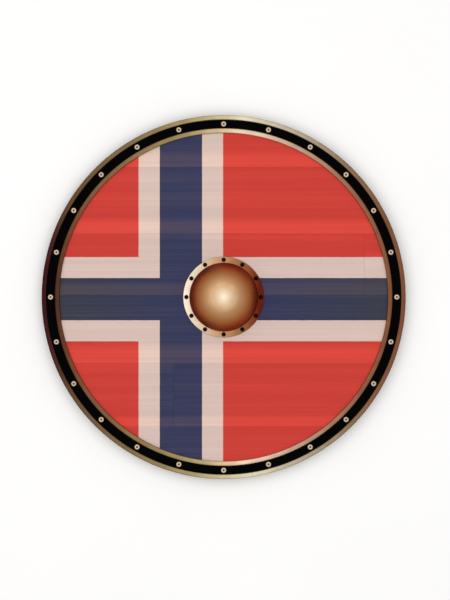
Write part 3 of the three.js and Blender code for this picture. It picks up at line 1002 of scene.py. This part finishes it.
def boss(outside_look, inside_look):
    """The hollow dome on its neck and flange. Its inner side has a material of its own."""
    inner = DOME - SHEET
    rise = CROWN_Z - NECK_Z
    edge_z = FLANGE_Z - FLANGE_FALL
    inside = [
        *reversed(dome_curve(inner, rise - SHEET)),
        (inner, FACE_Z + FILLET),
        *arc((inner + FILLET, FACE_Z + FILLET), (FILLET, FILLET), 180, 270, 5)[1:],
    ]
    edge = FLANGE_RADIUS - FLANGE_ROUND
    outside = [
        *arc((edge, FACE_Z + FLANGE_ROUND), (FLANGE_ROUND, FLANGE_ROUND), -90, 0, 4),
        *arc((edge, edge_z - FLANGE_ROUND), (FLANGE_ROUND, FLANGE_ROUND), 0, 90, 4),
        ((DOME + FLANGE_RADIUS) / 2, FLANGE_Z - FLANGE_FALL / 3),
        *arc((DOME + FILLET, FLANGE_Z + FILLET), (FILLET, FILLET), 270, 180, 6),
        *dome_curve(DOME, rise),
    ]

    def dented(point, step):
        """Small dents of use, pressed inward, on the outside above the boards."""
        if step < len(inside) or point.z < FACE_Z + SHEET / 2:
            return Vector()
        depth = max(0, relief(*point, (34, 34, 34)) - 0.1) * DENTS
        return (Vector((0, 0, NECK_Z)) - point).normalized() * depth

    points, faces, sources = turned(inside + outside, BOSS_TURNS, dented)
    slots = [1 if source < len(inside) else 0 for source in sources]
    piece = mesh_object("boss_shell", points, faces, slots)
    return finish_piece(piece, [outside_look, inside_look], ["boss"], sharp=50)


# ---- battens and grip bar ----


def bar_section(half, under, top, bevel, x, y):
    """A bar's section across Y, a rectangle rounded at its corners, in the order that lofted() needs."""
    bevel = min(bevel, (top - under) / 2, half)
    corners = [
        ((half - bevel, top - bevel), 0),
        ((bevel - half, top - bevel), 90),
        ((bevel - half, under + bevel), 180),
        ((half - bevel, under + bevel), 270),
    ]
    ring = []
    for centre, start in corners:
        ring += arc(centre, (bevel, bevel), start, start + 90, CORNER_STEPS)
    return [Vector((x + across, y, height)) for across, height in reversed(ring)]


def bar_piece(node, section_at, material, number, stations, square_to):
    """A bar along Y through the sections at its stations.

    Beyond square_to the stations bend to the circle within the channel's lip, where the bar's ends are cut.
    """
    low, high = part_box(node)
    x = (low.x + high.x) / 2
    reach = RADIUS - LIP_WIDTH - BAND_FIT
    rings = []
    for y in stations:
        half, under, top, bevel = section_at(abs(y))
        ring = bar_section(half, under, top, bevel, x, y)
        to_end = max(0, abs(y) - square_to) / (stations[-1] - square_to)
        for point in ring:
            end = math.sqrt(reach ** 2 - point.x ** 2)
            point.y -= math.copysign(to_end, y) * (stations[-1] - end)
            wear = abs(relief(*point, (25, 9, 25), number)) * WEAR
            point.x -= math.copysign(wear, point.x - x)
            if point.z < (under + top) / 2:
                point.z += wear
            elif top > BACK_Z:  # not where the boards cover it
                point.z -= wear
        rings.append(ring)
    points, faces = lofted(rings)
    piece = mesh_object(node + "_wood", points, faces)
    mark(piece, "board", [number] * len(points))
    return finish_piece(piece, [material], [node], sharp=40)


def batten(node, material, number):
    """A batten, level along most of its underside and thinner at both ends, where a rim rivet holds it."""
    low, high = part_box(node)
    half = (high.x - low.x) / 2
    rivet_low, rivet_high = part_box(BATTEN_RIVET)
    thin_from = (rivet_low.y + rivet_high.y) / 2 - ROVE
    flat = thin_from - BATTEN_TAPER

    def section(y):
        rise = max(0, min(1, (y - flat) / BATTEN_TAPER))
        return half, BATTEN_END_Z * rise, BACK_Z, BAR_ROUND

    even = {high.y * (2 * i / BATTEN_STEPS - 1) for i in range(BATTEN_STEPS + 1)}
    corners = {side * y for side in (-1, 1) for y in (flat, thin_from)}
    return bar_piece(node, section, material, number, sorted(even | corners), thin_from)


# The grip bar from its middle to one end, in millimetres: y, half width, underside, top and rounding.
GRIP_STATIONS = [
    (0, 17, 3, 24, 10),
    (30, 16.5, 3.2, 23.8, 9.5),
    (48, 15, 3.5, 22.5, 8),
    (58, 19, 4, 16, 4),
    (110, 21, 4, 16, 3.5),
    (350, 14, 10, 16, 2),
    (400, 13, 10, 16, 2),
]


def grip_section(y):
    """The stations' sizes at a place along the bar, eased from one to the next."""
    for (y0, *before), (y1, *after) in zip(GRIP_STATIONS, GRIP_STATIONS[1:]):
        if y <= y1 * MM:
            share = (y / MM - y0) / (y1 - y0)
            share = share * share * (3 - 2 * share)
            return tuple((a + (b - a) * share) * MM for a, b in zip(before, after))
    return tuple(size * MM for size in GRIP_STATIONS[-1][1:])


def grip_bar(material, number):
    """The bar behind the hand hole, thickened to a round handle across it."""
    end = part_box("grip_bar")[1].y
    coarse = {end * (2 * i / GRIP_STEPS - 1) for i in range(GRIP_STEPS + 1)}
    fine = {side * (HANDLE_FINE + HANDLE_STEP * i) for side in (-1, 1) for i in range(HANDLE_STEPS)}
    stations = sorted(fine | coarse)
    return bar_piece("grip_bar", grip_section, material, number, stations, end - GRIP_END)


# ---- the scene around it ----


def floor():
    """A pale studio floor with a faint mottling."""
    signs = ((-1, -1), (1, -1), (1, 1), (-1, 1))
    corners = [(FLOOR_REACH * x, FLOOR_REACH * y, FLOOR_Z) for x, y in signs]
    piece = mesh_object("studio_floor", corners, [[0, 1, 2, 3]])
    look = Look("studio_floor", specular=0.1)
    mottled = look.mottle(3, detail=2.0)
    colour = look.mix(mottled, srgb(250, 250, 249), srgb(254, 254, 254))
    piece.data.materials.append(look.done(colour, 0.9))


def studio_light():
    """A large round light, itself out of the camera's sight, and an even pale surround."""
    data = bpy.data.lights.new("overhead", "AREA")
    data.shape = "DISK"
    data.size = LIGHT_SIZE
    data.energy = LIGHT_POWER
    light = bpy.data.objects.new("overhead", data)
    light.location = LIGHT_PLACE
    light.rotation_euler = (-Vector(LIGHT_PLACE)).to_track_quat("-Z", "Y").to_euler()
    light.visible_camera = False
    bpy.context.scene.collection.objects.link(light)

    world = bpy.data.worlds.new("pale_studio")
    world.use_nodes = True
    background = world.node_tree.nodes["Background"]
    background.inputs["Color"].default_value = (1.0, 0.99, 0.98, 1)
    background.inputs["Strength"].default_value = SURROUND
    bpy.context.scene.world = world


def camera():
    """The camera, so far above the crest that the frame takes in the view's height."""
    data = bpy.data.cameras.new("camera")
    data.lens = LENS
    data.sensor_width = SENSOR
    above = VIEW_HEIGHT * LENS / SENSOR
    thing = bpy.data.objects.new("camera", data)
    thing.location = (*AIM, CREST_Z + above)
    bpy.context.scene.collection.objects.link(thing)
    bpy.context.scene.camera = thing


# ---- the shield ----


def shield():
    """Every piece of the shield. The numbers of its boards and bars give each a grain of its own."""
    dice = random.Random(7)
    paint = painted_boards()
    back = bare_wood("board_backs", False, srgb(186, 146, 104), srgb(139, 98, 62), srgb(128, 100, 74))
    bars = bare_wood("ash_bars", True, srgb(176, 136, 94), srgb(128, 90, 56), srgb(112, 84, 58))
    names = sorted(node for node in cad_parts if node.startswith("board_"))
    for number, name in enumerate(names):
        board(name, number, [paint, back])
    rim_channel(rim_bronze())
    leather_band(black_leather())
    brass = [rivet_brass(), rivet_hollow()]
    iron = [black_iron()]
    for node in sorted(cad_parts):
        if node.startswith("rim_rivet"):
            rivet(node, ring_head(), BAND_TOP_Z, brass, dice, TARNISHED)
        if node.startswith("boss_rivet"):
            rivet(node, domed_head(), FLANGE_Z, iron, dice)
    boss(boss_bronze(), unpolished_bronze())
    batten("batten_left", bars, 1)
    batten("batten_right", bars, 2)
    grip_bar(bars, 3)


bpy.context.scene.view_settings.view_transform = "Standard"
camera()
studio_light()
floor()
shield()
